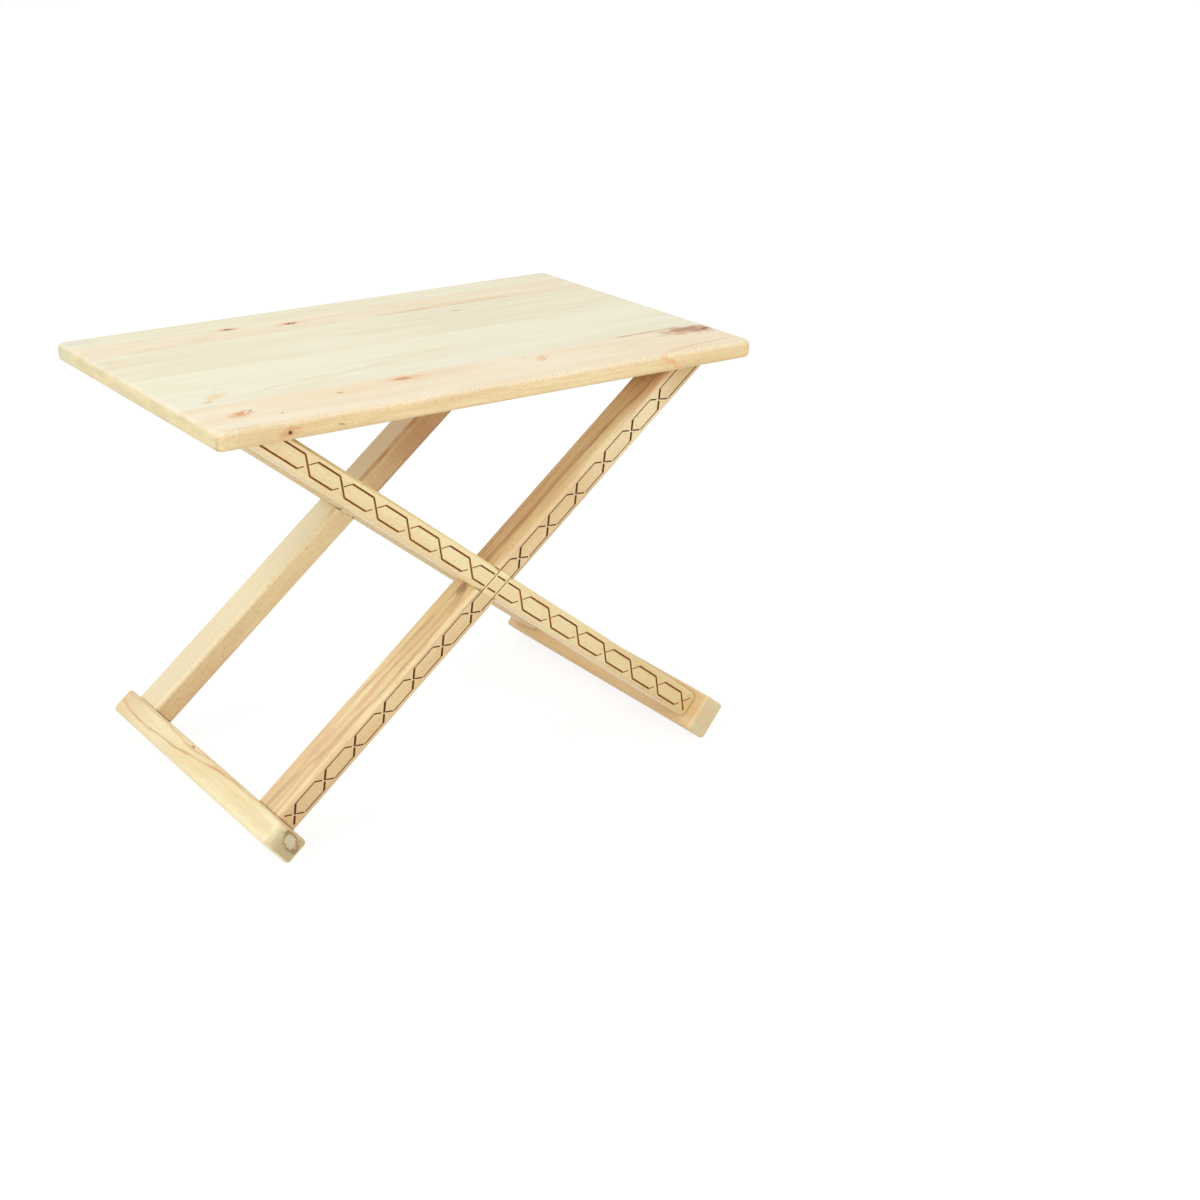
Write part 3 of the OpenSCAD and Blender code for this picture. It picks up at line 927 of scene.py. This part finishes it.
# %% Chain pattern
REACH = 8.1
HALF = 7.7
FIRST_CROSS = 37.2
LOW_COUNT = 7
HIGH_COUNT = 6
low_start = -FIRST_CROSS - (LOW_COUNT - 1) * PITCH
high_end = FIRST_CROSS + (HIGH_COUNT - 1) * PITCH
print("crossings from a =", round(low_start, 1), "to", round(high_end, 1), "mm")
FLAT_END = PITCH - REACH
LINK_END = FIRST_CROSS - REACH
TOP_RUN = 70


def chain(side, shift, cross, flats, middle, material):
    """All groove bars of one leg: crosses, the flats between them, the middle link and the top's run."""
    line_width = flats[0][2]
    top = [((high_end + REACH, s * HALF), (high_end + TOP_RUN, s * HALF), line_width) for s in (-1, 1)]
    parts = {
        "low crosses": (cross, low_start, LOW_COUNT),
        "high crosses": (cross, FIRST_CROSS, HIGH_COUNT),
        "low flats": (flats, low_start, LOW_COUNT - 1),
        "high flats": (flats, FIRST_CROSS, HIGH_COUNT - 1),
        "middle link": (middle, 0, 1),
        "top run": (top, 0, 1),
    }
    return [
        engraved(name, side, strokes, first + shift, count, material)
        for name, (strokes, first, count) in parts.items()
    ]


# %% [markdown]
# On each leg one stroke of a crossing runs through and the other stops short of it on both sides, so it
# seems to dive under. Where the left leg's middle link meets the other leg's lines, its own lines leave
# the same gap. That place follows from the angle at which the legs cross: a line of the other leg, at
# that angle and HALF away from its middle, meets b = HALF or b = -HALF at the a worked out below.

# %% Left frame's chain
BOLD = 2.1
OVER = 2.1
FINE = 1.2
left_cross = [
    ((REACH, HALF), (-REACH, -HALF), OVER),
    ((-REACH, HALF), (-1.1, 1.05), FINE),
    ((2.8, -2.7), (REACH, -HALF), FINE),
]
left_flats = [((REACH, s * HALF), (FLAT_END, s * HALF), BOLD) for s in (-1, 1)]
LINE_GAP = 2.3
MIDDLE_WIDTH = BOLD * 0.92
between_legs = 2 * leg_angle
left_middle = []
for s in (-1, 1):
    level = s * HALF
    away = level * math.cos(between_legs)
    crossed = sorted((t * HALF - away) / math.sin(between_legs) for t in (-1, 1))
    stops = [-LINK_END, crossed[0] - LINE_GAP, crossed[0] + LINE_GAP]
    stops += [crossed[1] - LINE_GAP, crossed[1] + LINE_GAP, LINK_END]
    for start, end in zip(stops[0::2], stops[1::2]):
        left_middle.append(((start, level), (end, level), MIDDLE_WIDTH))
left_chain = chain(LEFT, 0.0, left_cross, left_flats, left_middle, left_burnt)
print("left chain", sum(len(bars.data.polygons) for bars in left_chain), "faces in its bars")

# %% Right frame's chain
THIN = 1.1
STEEP = 2.4
SHORT = 1.5
right_cross = [
    ((REACH, HALF), (-0.3, -0.3), STEEP),
    ((-1.2, -1.15), (-REACH, -HALF), STEEP),
    ((-REACH, HALF), (-2.3, 2.2), SHORT),
    ((1.1, -1.05), (REACH - 0.9, 0.85 - HALF), SHORT),
]
right_flats = [((REACH, s * HALF), (FLAT_END, s * HALF), THIN) for s in (-1, 1)]
right_middle = [((-LINK_END, s * HALF), (LINK_END, s * HALF), THIN) for s in (-1, 1)]
RIGHT_SHIFT = -1.2
right_chain = chain(RIGHT, RIGHT_SHIFT, right_cross, right_flats, right_middle, right_burnt)
left_chain.append(engraved("over joint", RIGHT, right_middle, RIGHT_SHIFT, 1, left_burnt))
print("right chain", sum(len(bars.data.polygons) for bars in right_chain), "faces in its bars")

# %% [markdown]
# ## The legs
#
# The leg copies come with their halving notches and the bores for dowels. The chain's bars are cut from
# the front ones with an exact Boolean, which takes the bars' burnt wood over to the groove walls. The
# right frame's two middle lines run on over the left leg, because there the left leg's face is in front.
#
# A leg is seen from its front and from its upper side, and a board rarely has the same marks on both, so
# a mask of the upper side, soft on the rounding, keeps its streaks off the front. The foot is glued flat
# on the rail. There the edge is broken by a hair, and a dark line painted along the foot, partly glue and
# partly painted shade, shows the joint.

# %% Leg wood
LEG_END = srgb(206, 178, 130)
LEG_FLECK = srgb(178, 126, 74)
# the dark line at the foot: glue, and painted shade in the joint
GLUE_AND_SHADE_SEAM = srgb(84, 58, 36)
FOOT_REACH = 315.7


class LegWood(Wood):
    """Wood of a leg. A place on it is a along the leg, then from front to back, then b."""

    def __init__(self, name, side, pale, deep, seed, pith=(60, 240)):
        super().__init__(name, along_leg(side), pale, deep, pith, ring=3.0, ring_depth=0.35, seed=seed)
        self.flecks(LEG_FLECK, 0.45, length=6.0, width=0.66, kept=0.7)
        # a dark line along the foot: glue, and painted shade in the joint
        self.stain_and_light(self.along(0.2 - FOOT_REACH, 1.3 - FOOT_REACH, 1.0, 0.0), GLUE_AND_SHADE_SEAM, 0.9)

    def toned(self, start, full, colour, strength):
        """Tints the leg from one place along it to another, where the tint has its full strength; some
        calls paint shade.
        """
        self.dye_and_light(self.along(start, full), colour, strength)

    def upper(self, mask):
        """The mask on the side that looks up, with a soft end on the rounding."""
        return self.math("MULTIPLY", self.through(9.0, 13.5), mask)

    # the upper side's own marks, and its painted highlight and painted shade
    def stain_and_light_upper(self, mask, colour, strength):
        self.stain_and_light(self.upper(mask), colour, strength)

    def dye_and_light_upper(self, mask, colour, strength):
        self.dye_and_light(self.upper(mask), colour, strength)

    def coated(self):
        """The legs' clear coat is glossier than the seat's, which shows where they are seen at a slant."""
        return self.finished(LEG_END, roughness=0.27, gloss=0.5)


# %% Left frame's front leg
left_front = LegWood("left_front_leg_wood", LEFT, srgb(246, 228, 178), srgb(232, 206, 152), 11)
left_front.toned(-60, -260, srgb(222, 192, 130), 0.6)
# painted highlight: the upper side and its rounding made paler, as where they catch the light
left_front.dye_and_light_upper(1.0, srgb(254, 238, 180), 1.0)
# painted light: the lower side paler and pinker, for the white floor's bounce light and sheen on it
left_front.stain_and_light(left_front.through(-10.5, -14.0), srgb(246, 218, 176), 0.6)

# %% Right frame's front leg
right_front = LegWood("right_front_leg_wood", RIGHT, srgb(234, 205, 153), srgb(220, 184, 132), 12)
right_front.toned(-140, -300, srgb(214, 176, 126), 0.5)
right_front.toned(110, 190, srgb(249, 232, 184), 0.8)
# painted shade: darker at the top, right under the seat
right_front.toned(240, 300, srgb(204, 166, 112), 0.9)
# the upper side: pale and rosy waves
right_front.dye_and_light_upper(1.0, srgb(243, 219, 168), 0.9)
wavy = right_front.stretched_noise((0.012, 0.2, 0.05), 3.0, 0.6)
right_front.stain_and_light_upper(right_front.ramp(wavy, 0.52, 0.68), srgb(252, 234, 190), 0.5)
right_front.stain_and_light_upper(right_front.ramp(wavy, 0.5, 0.36), srgb(224, 178, 134), 0.5)
for middle in (-239, -150), (-164, -156):
    right_front.stain_and_light_upper(right_front.patch(middle, (70, 16)), srgb(222, 166, 126), 0.5)
# three brown lines that meet at the halving joint, and a painted shadow in the corner there, below the left
# leg
sinking = [(-316, -149), (-273, -153), (-231, -163), (-197, -165), (-157, -169), (-63, -166), (-21, -158)]
right_front.stain_and_light_upper(right_front.streak(sinking, 5.0, fade=4), srgb(186, 146, 102), 0.55)
far_line = [(-180, -140), (-126, -144.5), (-63, -148), (-21, -151)]
right_front.stain_and_light_upper(right_front.streak(far_line, 4.0, fade=60), srgb(190, 146, 98), 0.55)
middle_line = [(-150, -153), (-110, -157), (-63, -159), (-21, -155)]
right_front.stain_and_light_upper(right_front.streak(middle_line, 3.4, fade=60), srgb(196, 150, 104), 0.5)
# painted shadow: the dark patch where the left leg lies over this leg's upper side
right_front.stain_and_light_upper(right_front.patch((-24, -154), (26, 16)), srgb(140, 98, 62), 0.65)
# above the joint: heartwood on the far half, with a dark vein along its border
above = right_front.along(8, 16)
above_far = right_front.math("MULTIPLY", above, right_front.across(-162, -154))
right_front.dye_and_light_upper(above, srgb(232, 202, 150), 0.8)
right_front.dye_and_light_upper(above_far, srgb(222, 184, 138), 0.9)
vein = [(8, -156), (77, -156), (147, -155), (193, -157), (271, -163), (330, -166)]
right_front.stain_and_light_upper(right_front.streak(vein, 7.0), srgb(202, 150, 106), 0.5)
right_front.stain_and_light_upper(right_front.streak(vein, 2.4), srgb(150, 94, 56), 0.45)
brown_fibres = right_front.ramp(right_front.stretched_noise((0.006, 0.5, 0.2), 3.0, 0.65), 0.5, 0.7)
far_fibres = right_front.math("MULTIPLY", above_far, brown_fibres)
right_front.stain_and_light_upper(far_fibres, srgb(176, 124, 80), 0.6)
# painted shade: the upper side darker towards the top, under the seat
right_front.dye_and_light_upper(right_front.along(190, 290), srgb(213, 162, 111), 0.7)

# %% Rear legs
left_rear = LegWood("left_rear_leg_wood", LEFT, srgb(240, 220, 172), srgb(228, 200, 150), 13)

right_pith = (-40, 460)
right_rear = LegWood("right_rear_leg_wood", RIGHT, srgb(245, 223, 174), srgb(230, 202, 152), 14, right_pith)
right_rear.toned(-120, -260, srgb(226, 197, 149), 0.9)
# painted shade: the upper part of the leg darker, under the seat
right_rear.toned(-30, 120, srgb(198, 152, 100), 0.9)
right_rear.dye_and_light_upper(1.0, srgb(247, 236, 196), 0.9)
right_rear.stain_and_light_upper(1.0, srgb(244, 232, 194), 0.65)
# painted shade: the upper side darker from here up, where the seat blocks the light
right_rear.dye_and_light_upper(right_rear.along(-10, 60), srgb(234, 204, 150), 0.85)
# brown flecks and a line along the near edge
near_edge = right_rear.across(139, 134)
right_rear.flecks(srgb(214, 148, 84), 0.7, length=8.0, width=0.9, kept=0.8, mask=near_edge)
edge_line = [(-20, 133), (60, 134), (150, 134), (330, 135)]
right_rear.stain_and_light(right_rear.streak(edge_line, 5.0, fade=60), srgb(180, 108, 54), 0.7)


# %% Legs
FOOT_CHAMFER = 0.6
WIDE_SIDE_AREA = 6 * MM ** 2


def chamfer_foot(leg, side):
    """Breaks the edge round the leg's square foot, but not the rims of its dowel bores."""
    along = leg_directions(side)[0]
    crossing = Vector((0, 0, crossing_z * MM))
    form = bmesh.new()
    form.from_mesh(leg.data)
    foot = {v for v in form.verts if (v.co - crossing).dot(along) < (0.1 - FOOT_REACH) * MM}

    def beside_wide_side(edge):
        sides = [f for f in edge.link_faces if abs(f.normal.dot(along)) < 0.3]
        return any(f.calc_area() > WIDE_SIDE_AREA for f in sides)

    rim = [e for e in form.edges if set(e.verts) <= foot and e.calc_face_angle(0) > 1.0]
    rim = [e for e in rim if beside_wide_side(e)]
    cut = {"offset": FOOT_CHAMFER * MM, "segments": 1, "affect": "EDGES", "clamp_overlap": True}
    bmesh.ops.bevel(form, geom=rim, **cut)
    form.to_mesh(leg.data)
    form.free()


legs = {
    "left_frame_front_leg": ("left_engraved_leg", LEFT, left_front, left_chain),
    "right_frame_front_leg": ("right_engraved_leg", RIGHT, right_front, right_chain),
    "left_frame_rear_leg": ("left_plain_leg", LEFT, left_rear, []),
    "right_frame_rear_leg": ("right_plain_leg", RIGHT, right_rear, []),
}
for node, (name, side, wood, bars) in legs.items():
    leg = copy_of(node, name, wood.coated())
    chamfer_foot(leg, side)
    for bar in bars:
        cut_out(leg, bar, material_mode="TRANSFER")
        bpy.data.objects.remove(bar)
    stand_for(smooth(leg), node)

# %% [markdown]
# ## Foot rails
#
# A foot rail lies on the floor along its edge, and its grain runs from front to back. The left one shows
# a long brown loop of a flat-sawn board on its upper face, and grey, knotty wood at the near end.

# %% Left foot rail
RAIL_PALE = srgb(248, 236, 194)
RAIL_DEEP = srgb(234, 212, 162)
RAIL_END = srgb(216, 198, 156)
RAIL_BACK = 190


def rail_wood(name, space, seed, pith, pale, deep):
    return Wood(name + "_wood", space, pale, deep, pith, ring=3.6, ring_depth=0.4, seed=seed)


def on_rail(from_back, from_leg):
    """A place on the left rail's upper face, measured from its back end and from the legs."""
    return (RAIL_BACK - from_back, FOOT_REACH + from_leg)


left_foot = rail_wood("left_foot_rail", along_foot_rail(RIGHT), 21, (90, 260), RAIL_PALE, RAIL_DEEP)
near_half = left_foot.along(20, -60)
left_foot.flecks(srgb(236, 192, 118), 0.6, length=22.0, width=1.3, kept=0.8, mask=near_half)
left_foot.dye_and_light(left_foot.along(90, 185), srgb(238, 216, 172), 0.8)
# the brown loop, a fainter one inside it, and a short dark mark
loop = [(-4, 9), (15, 15), (38, 18.2), (66, 19.4), (106, 17.9), (152, 14.9), (187, 11.3), (218, 6.8)]
loop += [(253, 4), (304, 2.3), (384, 1.8)]
outer = left_foot.streak([on_rail(*p) for p in loop], 2.0, fade=4)
left_foot.stain_and_light(outer, srgb(204, 152, 98), 0.7)
inner_loop = [(-4, 7), (20, 4), (90, 2.2), (134, 3.5), (170, 5.5), (200, 3.5), (214, 1.5)]
inner = left_foot.streak([on_rail(*p) for p in inner_loop], 1.6, fade=4)
left_foot.stain_and_light(inner, srgb(210, 164, 112), 0.55)
left_foot.spot(on_rail(177, 3.0), (14, 3.4), srgb(150, 110, 66), 0.8)

# %% Left foot rail's near end
near_end = left_foot.along(5, -5)


def on_near_end(deep, up, size, colour, strength, rim_only=False, **shape):
    """A spot on the near end: how deep under the legs, how far up the slope, and its whole sizes."""
    draw = left_foot.outlined if rim_only else left_foot.patch
    spot = draw((FOOT_REACH + deep, up), size, face="end", **shape)
    left_foot.end_marks.append((left_foot.math("MULTIPLY", spot, near_end), colour, strength))


on_near_end(15, 20, (90, 40), srgb(248, 236, 190), 0.9, ragged=0.1)
on_near_end(2.5, 16, (5, 26), srgb(238, 192, 126), 0.7, lean=-10)
# grey wood with a knot and a broken brown ring round it
on_near_end(15, -15, (110, 74), srgb(192, 174, 130), 0.95, ragged=0.12)
on_near_end(10, -6, (16, 26), srgb(212, 200, 168), 0.8, lean=20, ragged=0.2)
on_near_end(10.5, -6.5, (13, 24), srgb(140, 104, 66), 0.75, rim_only=True, lean=24, ragged=0.32)
on_near_end(7, -15, (8, 8), srgb(190, 140, 90), 0.8)
on_near_end(6.5, -15, (2.4, 2.4), srgb(232, 196, 150), 0.8)

# %% Both foot rails
peach = srgb(244, 216, 168), srgb(230, 192, 140)
right_foot = rail_wood("right_foot_rail", along_foot_rail(LEFT), 22, (-70, 240), *peach)
foot_rails = {
    "right_frame_foot_rail": ("left_floor_rail", left_foot),
    "left_frame_foot_rail": ("right_floor_rail", right_foot),
}
for node, (name, wood) in foot_rails.items():
    stand_for(smooth(copy_of(node, name, wood.finished(RAIL_END))), node)

# %% [markdown]
# ## Under the seat
#
# Top rails and battens are plain square-cut pieces that nobody sees from above. Their sharp corners are
# broken by not quite a millimetre, as by one stroke of a plane, and their grain runs from front to back.

# %% Top rails and battens
BROKEN_EDGE = 0.8


def break_edges(piece, width):
    bevel = piece.modifiers.new("broken edges", "BEVEL")
    bevel.width = width * MM
    bevel.segments = 2
    bevel.limit_method = "ANGLE"
    bevel.angle_limit = math.radians(40)
    return made_plain(piece)


under_pieces = {
    "left_frame_top_rail": ("left_top_rail", 31, (80, 200)),
    "right_frame_top_rail": ("right_top_rail", 32, (-60, 220)),
    "left_batten": ("left_seat_batten", 33, (40, 180)),
    "right_batten": ("right_seat_batten", 34, (-90, 240)),
}
for node, (name, seed, pith) in under_pieces.items():
    wood = rail_wood(name, FRONT_TO_BACK, seed, pith, srgb(240, 222, 178), srgb(226, 200, 150))
    wood.flecks(srgb(190, 140, 92), 0.5, length=3.0, width=0.62, kept=0.35)
    piece = copy_of(node, name, wood.finished(RAIL_END))
    stand_for(smooth(break_edges(piece, BROKEN_EDGE)), node)

# %% [markdown]
# ## Dowels and pegs
#
# The dowels are inside the joints and show only when a frame is looked at in section, but the two pegs
# come to light when the seat is lifted. All are turned from straight-grained stock, unfinished.

# %% Dowels and pegs
dowel_spaces = {
    "left_frame_foot_dowels": ("left_foot_dowels", along_leg(LEFT), 41),
    "right_frame_foot_dowels": ("right_foot_dowels", along_leg(RIGHT), 42),
    "left_frame_top_dowels": ("left_top_dowels", FRONT_TO_BACK, 43),
    "right_frame_top_dowels": ("right_top_dowels", FRONT_TO_BACK, 44),
    "right_frame_seat_pegs": ("seat_pegs", UPRIGHT, 45),
}
for node, (name, space, seed) in dowel_spaces.items():
    wood = Wood(name + "_wood", space, srgb(234, 214, 172), srgb(212, 184, 138), (30, 90), 2.2, 0.4, seed)
    wood.flecks(srgb(180, 130, 86), 0.5, length=2.4, width=0.5, kept=0.4)
    material = wood.finished(srgb(206, 176, 130), roughness=0.66)
    stand_for(smooth(copy_of(node, name, material)), node)

# %% [markdown]
# ## Screws
#
# Eight countersunk screws hold the battens. One is turned from its outline, gets a cross recess cut into
# the head, and Geometry Nodes set the eight in two rows, each turned by its own chance angle, as screws
# are in a real seat.

# %% One screw
SCREW_LENGTH = 29
SCREW_RADIUS = 2
HEAD_RADIUS = 4
HEAD_HEIGHT = 2
SCREW_SIDES = 20
RECESS_ARM = 2.3
RECESS_WIDTH = 0.9
RECESS_DEPTH = 1.6
HEAD_RIM = 0.25
TIP_LENGTH = 5
SCREWS_IN_A_ROW = 4
TURN_SEED = 7

steel = Finish("zinc_plated_steel")
steel_place = steel.scaled(steel.coordinates.outputs["Object"], MM_IN_A_METRE)
brushed = steel.noise(steel.vector("MULTIPLY", steel_place, (0.9, 0.9, 4.0)), 3.0, 0.6)
tarnish = steel.noise(steel.scaled(steel_place, 0.35), 2.0, 0.5)
steel_colour = steel.mix(steel.ramp(tarnish, 0.4, 0.7), srgb(206, 206, 204), srgb(176, 174, 166))
steel_dull = steel.ramp(brushed, 0.3, 0.7, 0.28, 0.46)
steel_material = steel.surface(steel_colour, steel_dull, brushed, 0.00003, metal=1.0)


def piece_from(form, name):
    """An object that holds what was drawn in a bmesh."""
    mesh = bpy.data.meshes.new(name)
    form.to_mesh(mesh)
    form.free()
    made = bpy.data.objects.new(name, mesh)
    scene.collection.objects.link(made)
    return made


def turned(name, outline, sides):
    """A closed solid turned round the Z axis from an outline of radius and height."""
    form = bmesh.new()
    verts = [form.verts.new((r * MM, 0, z * MM)) for r, z in outline]
    edges = [form.edges.new(pair) for pair in zip(verts, verts[1:])]
    axis = {"cent": (0, 0, 0), "axis": (0, 0, 1), "angle": 2 * math.pi, "steps": sides}
    bmesh.ops.spin(form, geom=verts + edges, use_merge=True, **axis)
    bmesh.ops.remove_doubles(form, verts=form.verts, dist=0.01 * MM)
    bmesh.ops.recalc_face_normals(form, faces=form.faces)
    return piece_from(form, name)


def cross_block(name):
    """The shape of the driver's tip: two bars at right angles, sunk into the head from below."""
    form = bmesh.new()
    for arm in ((RECESS_ARM, RECESS_WIDTH / 2), (RECESS_WIDTH / 2, RECESS_ARM)):
        size = Matrix.Diagonal((2 * arm[0] * MM, 2 * arm[1] * MM, 2 * RECESS_DEPTH * MM, 1))
        bmesh.ops.create_cube(form, size=1, matrix=size)
    return piece_from(form, name)


outline = [
    (0, 0),
    (HEAD_RADIUS - HEAD_RIM, 0),
    (HEAD_RADIUS - 0.05, HEAD_RIM),
    (SCREW_RADIUS, HEAD_HEIGHT),
    (SCREW_RADIUS, SCREW_LENGTH - TIP_LENGTH),
    (0, SCREW_LENGTH - 0.1),
]
one_screw = turned("one screw", outline, SCREW_SIDES)
driver_tip = cross_block("driver tip")
cut_out(one_screw, driver_tip, use_self=True)
bpy.data.objects.remove(driver_tip)
print("one screw", len(one_screw.data.polygons), "faces")


# %% Screws in two rows
def screw_tree():
    """Sets an object on a grid of points, each turned by chance about the upright axis."""
    sockets = {"Screw": "Geometry", "Between rows": "Float", "Row length": "Float", "In a row": "Int"}
    kit = geometry_kit("screw rows", {**sockets, "Height": "Float", "Steel": "Material"}, "Screws")
    given = kit.node("NodeGroupInput").outputs
    spans = {"Size X": given["Between rows"], "Size Y": given["Row length"]}
    counts = {"Vertices X": 2, "Vertices Y": given["In a row"]}
    grid = kit.node("GeometryNodeMeshGrid", {**spans, **counts})
    lift = kit.node("ShaderNodeCombineXYZ", {"Z": given["Height"]})
    place = {"Geometry": grid.outputs["Mesh"], "Translation": lift.outputs[0]}
    raised = kit.node("GeometryNodeTransform", place)
    chance = kit.node("FunctionNodeRandomValue", {"Seed": TURN_SEED}, data_type="FLOAT")
    most = [socket for socket in chance.inputs if socket.name == "Max" and socket.type == "VALUE"][0]
    most.default_value = math.pi / 2
    angle = [socket for socket in chance.outputs if socket.type == "VALUE"][0]
    spin = kit.node("ShaderNodeCombineXYZ", {"Z": angle}).outputs[0]
    on_every_point(kit, raised.outputs[0], given["Screw"], given["Steel"], "Screws", Rotation=spin)
    return kit.tree


low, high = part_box("batten_screws")
one_screw.name = "seat_screws"
values = {
    "Between rows": high.x - low.x - 2 * HEAD_RADIUS * MM,
    "Row length": high.y - low.y - 2 * HEAD_RADIUS * MM,
    "In a row": SCREWS_IN_A_ROW,
    "Height": low.z,
    "Steel": steel_material,
}
run_tree(one_screw, screw_tree(), values)
stand_for(smooth(one_screw), "batten_screws")
